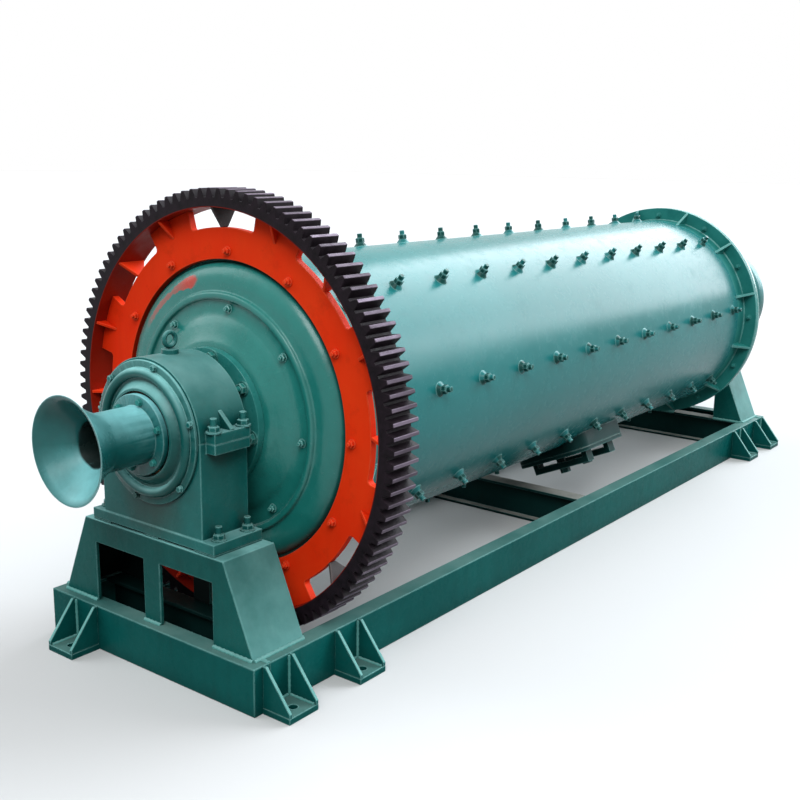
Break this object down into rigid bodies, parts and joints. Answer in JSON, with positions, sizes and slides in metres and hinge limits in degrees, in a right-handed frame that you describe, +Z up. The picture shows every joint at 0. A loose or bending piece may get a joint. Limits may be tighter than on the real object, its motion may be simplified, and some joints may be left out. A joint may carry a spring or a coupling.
{
  "type": "ball mill",
  "caption": "Horizontal ball mill: bolted drum with a ring gear at one end, turning on trunnion bearings over a welded channel base frame.",
  "frame": {"origin": "on the floor, at the centre of the rectangle of the four inner anchor holes, below the drum's axis", "axes": "+X along the drum's axis from the ring-gear end to the far end, +Z up, +Y towards the side with the drive-side foot"},
  "size_m": [4.349, 1.344, 1.3838],
  "materials": {
    "frame_paint": "semi-gloss enamel",
    "drum_paint": "gloss enamel, streaked with dirt",
    "gear_rim_metal": "machined teeth with a dark oily coat",
    "gear_web_paint": "orange-red primer",
    "head_paint": "brushed enamel on a casting",
    "journal_steel": "turned and ground",
    "bush_bronze": "machined",
    "bolt_steel": "painted over and worn",
    "dark_steel": "dull dark enamel"
  },
  "bodies": {
    "base": {"gear_end_housing_base": "frame_paint", "gear_end_housing_cap": "frame_paint", "gear_end_bush": "bush_bronze", "gear_end_cover": "frame_paint", "gear_end_lifting_eye": "frame_paint", "far_end_housing_base": "frame_paint", "far_end_housing_cap": "frame_paint", "far_end_bush": "bush_bronze", "far_end_cover": "frame_paint", "far_end_lifting_eye": "frame_paint", "gear_end_stand": "frame_paint", "far_end_stand": "frame_paint", "stand_packing": "dark_steel", "right_rail": "frame_paint", "left_rail": "frame_paint", "gear_end_beam": "frame_paint", "far_end_beam": "frame_paint", "gear_end_cross_beam": "frame_paint", "mid_cross_beam": "frame_paint", "far_end_cross_beam": "frame_paint", "foot_plates": "frame_paint", "foot_gussets": "frame_paint"},
    "drum": {"gear_rim": "gear_rim_metal", "gear_web": "gear_web_paint", "gear_gussets": "gear_web_paint", "drum_shell": "drum_paint", "gear_end_flange": "drum_paint", "far_end_flange": "drum_paint", "gear_end_ribs": "drum_paint", "far_end_ribs": "drum_paint", "gear_end_head": "head_paint", "far_end_head": "head_paint", "gear_end_trunnion": "journal_steel", "far_end_trunnion": "journal_steel", "feed_trumpet": "head_paint", "discharge_spout": "head_paint", "manhole_neck": "dark_steel", "manhole_cover": "dark_steel", "manhole_clamps": "dark_steel", "manhole_bolts": "bolt_steel"}
  },
  "joints": [
    {"name": "drum_spin", "type": "hinge", "parent": "base", "child": "drum", "pos_m": [0, 0, 0.712], "axis": [1, 0, 0], "continuous": true}
  ]
}
